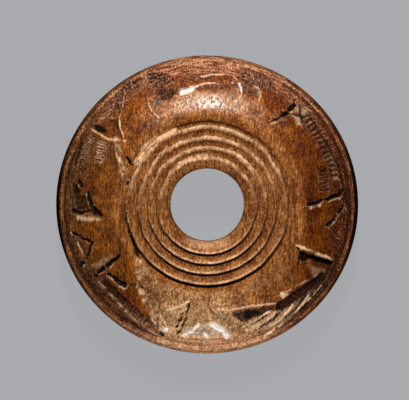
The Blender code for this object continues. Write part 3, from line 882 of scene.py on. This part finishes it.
def bone_material():
    material = bpy.data.materials.new("patinated_bone")
    material.use_nodes = True
    tree = material.node_tree
    shader = tree.nodes["Principled BSDF"]

    def node(kind, settings, sockets, output=0):
        return add_node(tree, kind, settings, sockets, output)

    def mask(name):
        return node("ShaderNodeAttribute", {"attribute_name": name}, {}, "Fac")

    def mixed(factor, first, second, how="MIX"):
        settings = {"data_type": "RGBA", "blend_type": how}
        return node("ShaderNodeMix", settings, {0: factor, 6: first, 7: second}, 2)

    def vector(operation, first, second):
        return node("ShaderNodeVectorMath", {"operation": operation}, {0: first, 1: second})

    place = node("ShaderNodeTexCoord", {}, {}, "Object")
    place = node("ShaderNodeVectorMath", {"operation": "SCALE"}, {0: place, "Scale": 1 / MM})

    def noise(size, detail=2.0, roughness=0.55, where=place):
        """Noise whose features have that size in millimetres along x, y and z."""
        cells = vector("DIVIDE", where, size)
        sockets = {"Vector": cells, "Scale": 1.0, "Detail": detail, "Roughness": roughness}
        return node("ShaderNodeTexNoise", {}, sockets)

    # Where a place is on the whorl: how far out, towards which side, and on which part.
    flat = vector("MULTIPLY", place, (1.0, 1 / OVAL, 0.0))
    radius = node("ShaderNodeVectorMath", {"operation": "LENGTH"}, {0: flat}, "Value")
    outward = node("ShaderNodeVectorMath", {"operation": "NORMALIZE"}, {0: flat})
    rightwards = node("ShaderNodeSeparateXYZ", {}, {0: outward})
    upwards = node("ShaderNodeSeparateXYZ", {}, {0: outward}, "Y")
    leftwards, downwards = 0 - rightwards, 0 - upwards
    sideways = abs(rightwards)
    sides = sideways**3
    lengthways = 1 - sideways**2
    low_flanks = downwards.ramp(0.2, 0.6) * (1 - downwards.ramp(0.86, 0.97))
    rim = radius.ramp(11.9, 12.6)
    face_side = node("ShaderNodeSeparateXYZ", {}, {0: place}, "Z").ramp(3.4, 4.6)

    # The grain of the bone, and the laps that turning left round its border.
    streaks = noise((0.25, 3.0, 0.5), 4.0)
    fine_streaks = noise((0.12, 0.70, 0.2), 3.0)
    blotches = noise((1.3, 2.2, 1.6), 3.0)
    speckle = noise((0.17, 0.26, 0.17), 3.0)
    flecks = noise((0.11, 0.15, 0.11), 1.0)
    lumps = 0.6 * noise((0.34, 0.42, 0.34), 3.0, 0.65) + 0.4 * speckle
    grain = 0.62 * fine_streaks + 0.18 * speckle + 0.20 * flecks
    fibres = (0.2 * fine_streaks + 0.2 * flecks + 0.6 * lumps + (blotches - 0.5) * 0.2).ramp(0.34, 0.66)
    spots = (0.6 * speckle + 0.4 * flecks).ramp(0.40, 0.62)
    round_border = vector("MULTIPLY", outward, (9.0, 9.0, 9.0))
    round_border = vector("ADD", round_border, vector("MULTIPLY", (0.0, 0.0, 1.0), radius))
    laps = noise((1.0, 1.0, 0.16), 3.0, 0.65, round_border)

    # The turned rings and the polished band outside them.
    tone = (grain * 0.9 + (streaks - 0.5) * 0.8 + (blotches - 0.5) * 0.7).ramp(0.29, 0.63)
    calm = (grain * 0.9 + (streaks - 0.5) * 0.45 + (blotches - 0.5) * 1.3).ramp(0.16, 0.76)
    on_right = rightwards.ramp(0.2, 0.8)
    polish_start = 0.35 * on_right + 0.9 * on_right * downwards.ramp(0.0, 0.6)
    outer = (radius - polish_start + (blotches - 0.5) * 0.6).ramp(8.3, 9.0)
    polished = mixed(calm, POLISHED_DARK, POLISHED_GOLD)
    base = mixed(outer, mixed(tone, TURNED_DARK, TURNED_PALE), polished)
    # The top of the band round the key light's highlight is paler and beige: partly rubbed wear, partly
    # painted sheen round the highlight.
    rubbed_and_sheen = upwards.ramp(0.70, 0.97) * outer * (1 - radius.ramp(10.2, 11.2))
    base = mixed(rubbed_and_sheen * 0.60, base, mixed(fibres, RUBBED_SHEEN_DARK, RUBBED_SHEEN_PALE))

    # The worn foot of the face, the dark border with painted shade at its sides, its laps with painted pink
    # sheen at the top and the foot, and its lip.
    foot = mask("worn")
    worn = (foot * (0.8 + 0.7 * (0.6 * blotches + 0.4 * speckle).ramp(0.36, 0.56))).clipped()
    base = mixed(worn, base, mixed(fibres, WORN_DARK, WORN_BUFF))
    darkened = (radius + (blotches - 0.5) * 1.6).ramp(10.6, 12.9) * (1 - foot * 0.9)
    # The border is darkened by its patina, and blacker at the sides as painted shade, where the lights along
    # the grain reach least.
    base = mixed(darkened * 0.75, base, mixed(sides, RIM_PURPLE, RIM_BLACK))
    # Pink on the border's laps at the top and the foot, where the lights fall: real laps, with painted
    # sheen.
    base = mixed(rim * face_side * lengthways**2 * laps.ramp(0.38, 0.60) * 0.8, base, RIM_PINK)
    base = mixed(rim * face_side * sides * laps.ramp(0.52, 0.62) * 0.5, base, POLISHED_GOLD)
    lip = radius.ramp(13.28, 13.38) * (1 - radius.ramp(13.55, 13.66)) * laps.ramp(0.36, 0.52)
    lit_lip = lip * (0.25 + 0.30 * sides) * (1 - 0.6 * low_flanks)
    base = mixed(lit_lip, base, mixed(lengthways, LIP_GOLD, WORN_BUFF))
    reddened = rightwards.ramp(0.45, 0.90) * outer * 0.42 * (1 - lip * upwards.ramp(0.0, 0.3))
    base = mixed(reddened, base, BAND_RED)
    base = mixed(leftwards.ramp(0.50, 0.95) * outer * 0.28, base, BAND_OLIVE)

    # Chipped and stained places, and the pale flecks of unpolished bone.
    chipped = mask("chipped")
    base = mixed(chipped, base, mixed(lumps.ramp(0.36, 0.66), CHIP_DARK, CHIP_PINK))
    base = mixed(mask("red"), base, mixed(spots, LOBE_DARK, LOBE_RED))
    base = mixed(mask("dark"), base, mixed(spots, STAIN_AND_SHADE_BLACK, STAIN_AND_SHADE_BROWN))
    base = mixed(mask("grey") * speckle.ramp(0.3, 0.6), base, STONE_GREY)
    shiny = outer * (1 - radius.ramp(11.8, 12.4)) * (1 - foot) * (1 - 0.8 * chipped)
    matt = (1 - shiny).clipped()
    base = mixed(flecks.ramp(0.62, 0.72) * (0.06 + 0.24 * matt) * (1 - 0.3 * low_flanks), base, EDGE_PALE)
    base = mixed(flecks.ramp(0.56, 0.68) * rim * face_side * (0.30 - 0.20 * sides), base, EDGE_PALE)

    # Light and dark: the grain and the pits, and painted shade at the sides, on the lower flanks and round
    # the outermost edge, with painted light on that edge at the lower flanks.
    coarse = 1.25 - 0.15 * matt
    shade = 0.90 + 0.26 * coarse * (speckle.ramp(0.30, 0.70) - 0.5)
    shade = shade * (0.98 + 0.62 * coarse * (1 - 0.4 * foot) * (grain.ramp(0.36, 0.64) - 0.5))
    shade = shade * (1 + 0.45 * outer * (lumps.ramp(0.38, 0.62) - 0.5))
    # The pits are darker, and painted shade darkens the sides, most on the band.
    shade = shade * (1.12 - 0.4 * mask("pits")) * (1 - (0.12 + 0.38 * outer) * sides)
    # Painted shade on the lower flanks, away from both lights.
    shade = shade * (1 - 0.30 * low_flanks * radius.ramp(7.8, 8.8) * (1 - 0.6 * foot))
    # More painted shade on the border at the lower flanks.
    shade = shade * (1 - 0.40 * rim * low_flanks)
    shade = shade * (1 + (0.20 + 0.50 * sides) * rim * face_side * (laps.ramp(0.38, 0.60) - 0.5))
    # The outermost edge at the lower flanks is lighter: partly wear, partly painted light.
    shade = shade * (1 + 1.6 * radius.ramp(13.45, 13.65) * low_flanks)
    # Painted shade on the outermost edge, strongest at the sides and less at the top.
    painted_edge_shade = radius.ramp(13.60, 13.72) * (0.25 + 0.70 * sides**2) * (1 - downwards.ramp(0.2, 0.8))
    shade = shade * (1 - painted_edge_shade)
    base = mixed(1.0, base, node("ShaderNodeCombineColor", {}, (shade, shade, shade)), "MULTIPLY")

    # Pale worn edges with painted highlights, painted white glints, and black dirt with painted shadow lie
    # over everything else.
    gloss_and_glint, dirt_and_shadow = mask("gloss_and_glint"), mask("dirt_and_shadow")
    base = mixed((mask("pale") * (0.55 + 0.65 * grain.ramp(0.40, 0.58))).clipped(), base, EDGE_PALE)
    # Painted white glints on the proud edges, the glossy facet and the ground round the small arch.
    base = mixed(gloss_and_glint * lumps.ramp(0.25, 0.45) * 0.90, base, PAINTED_GLINT_WHITE)
    base = mixed(dirt_and_shadow * (0.90 + 0.10 * flecks.ramp(0.4, 0.6)), base, DIRT_AND_SHADOW_BLACK)

    roughness = 0.50 + 0.20 * matt + 0.25 * (speckle - 0.5)
    polish = ((1 - matt) * (0.21 + 1.4 * (speckle - 0.5)) + gloss_and_glint) * (1 - dirt_and_shadow)
    relief = 0.020 * speckle + 0.008 * flecks + 0.010 * fine_streaks + 0.008 * streaks
    relief = relief * (0.32 + 1.13 * matt)
    made = {
        "Base Color": base,
        "Roughness": roughness.clipped(),
        "Coat Weight": polish.clipped(),
        "Normal": node("ShaderNodeBump", {}, {"Height": relief * MM, "Strength": 1.0, "Distance": 1.0}),
    }
    for name, value in made.items():
        tree.links.new(value.socket, shader.inputs[name])
    shader.inputs["IOR"].default_value = 1.15
    shader.inputs["Coat Roughness"].default_value = 0.22
    shader.inputs["Coat IOR"].default_value = 1.5
    return material


def plain_material(name, colour, glow, glow_strength):
    material = bpy.data.materials.new(name)
    material.use_nodes = True
    shader = material.node_tree.nodes["Principled BSDF"]
    shader.inputs["Base Color"].default_value = colour
    shader.inputs["Roughness"].default_value = 0.9
    shader.inputs["Specular IOR Level"].default_value = 0.0
    shader.inputs["Emission Color"].default_value = glow
    shader.inputs["Emission Strength"].default_value = glow_strength
    return material


def linked(name, data):
    made = bpy.data.objects.new(name, data)
    bpy.context.scene.collection.objects.link(made)
    return made


def make_whorl():
    whorl = linked("whorl_carved", whorl_mesh())
    whorl.data.materials.append(bone_material())
    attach(whorl, "root")
    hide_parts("whorl")


# The floor glows evenly, so that it is pale out to its edges and takes no hard shadow.
FLOOR_SIZE = 4.0
FLOOR_GAP = 0.00002
FLOOR_COLOUR = tint(168, 170, 174)
FLOOR_GLOW = 0.95
FLOOR_SHEET = (0.02, 0.02, 0.02, 1.0)


def make_floor():
    mesh = bpy.data.meshes.new("floor")
    half = FLOOR_SIZE / 2
    corners = ((-half, -half), (half, -half), (half, half), (-half, half))
    mesh.from_pydata([(x, y, -FLOOR_GAP) for x, y in corners], [], [(0, 1, 2, 3)])
    floor = linked("floor", mesh)
    mesh.materials.append(plain_material("pale_floor", FLOOR_SHEET, FLOOR_COLOUR, FLOOR_GLOW))
    floor.visible_diffuse = False
    floor.visible_glossy = False


LIGHT_DISTANCE = 0.5
# Each light's name, azimuth, angle from straight above, width, height and power.
LIGHTS = (
    ("key_softbox", 0.0, 35.0, 0.05, 0.10, 3.0),
    ("fill_softbox", 180.0, 72.0, 0.14, 0.05, 1.3),
)
AMBIENT = (0.015, 0.015, 0.016, 1.0)


def make_lights():
    for name, azimuth, from_above, width, height, power in LIGHTS:
        light = bpy.data.lights.new(name, "AREA")
        light.shape = "RECTANGLE"
        light.size, light.size_y = width, height
        light.energy = power
        lamp = linked(name, light)
        turn, lean = math.radians(azimuth), math.radians(from_above)
        flat = LIGHT_DISTANCE * math.sin(lean)
        lamp.location = (flat * math.sin(turn), flat * math.cos(turn), LIGHT_DISTANCE * math.cos(lean))
        lamp.rotation_euler = (-lean, 0.0, -turn)
        lamp.visible_camera = False
    world = bpy.data.worlds.new("studio")
    world.use_nodes = True
    world.node_tree.nodes["Background"].inputs["Color"].default_value = AMBIENT
    bpy.context.scene.world = world


# The photograph is 409 by 400 pixels. The whorl is 302.3 of them across, with its middle at (207.2, 204.4).
PHOTO_WIDTH, PHOTO_HEIGHT = 409, 400
WHORL_PIXELS = 302.3
WHORL_MIDDLE = (207.2, 204.4)
CAMERA_DISTANCE = 600.0
SENSOR_WIDTH = 36.0


def make_camera():
    pixel = 2 * RADIUS / WHORL_PIXELS
    data = bpy.data.cameras.new("camera")
    data.sensor_width = SENSOR_WIDTH
    data.lens = SENSOR_WIDTH * CAMERA_DISTANCE / (PHOTO_WIDTH * pixel)
    data.clip_end = 10.0
    camera = linked("camera", data)
    x = (PHOTO_WIDTH / 2 - WHORL_MIDDLE[0]) * pixel
    y = (WHORL_MIDDLE[1] - PHOTO_HEIGHT / 2) * pixel
    camera.location = (x * MM, y * MM, (EDGE_HEIGHT + CAMERA_DISTANCE) * MM)
    bpy.context.scene.camera = camera


make_whorl()
make_floor()
make_lights()
make_camera()
bpy.context.scene.view_settings.view_transform = "Standard"
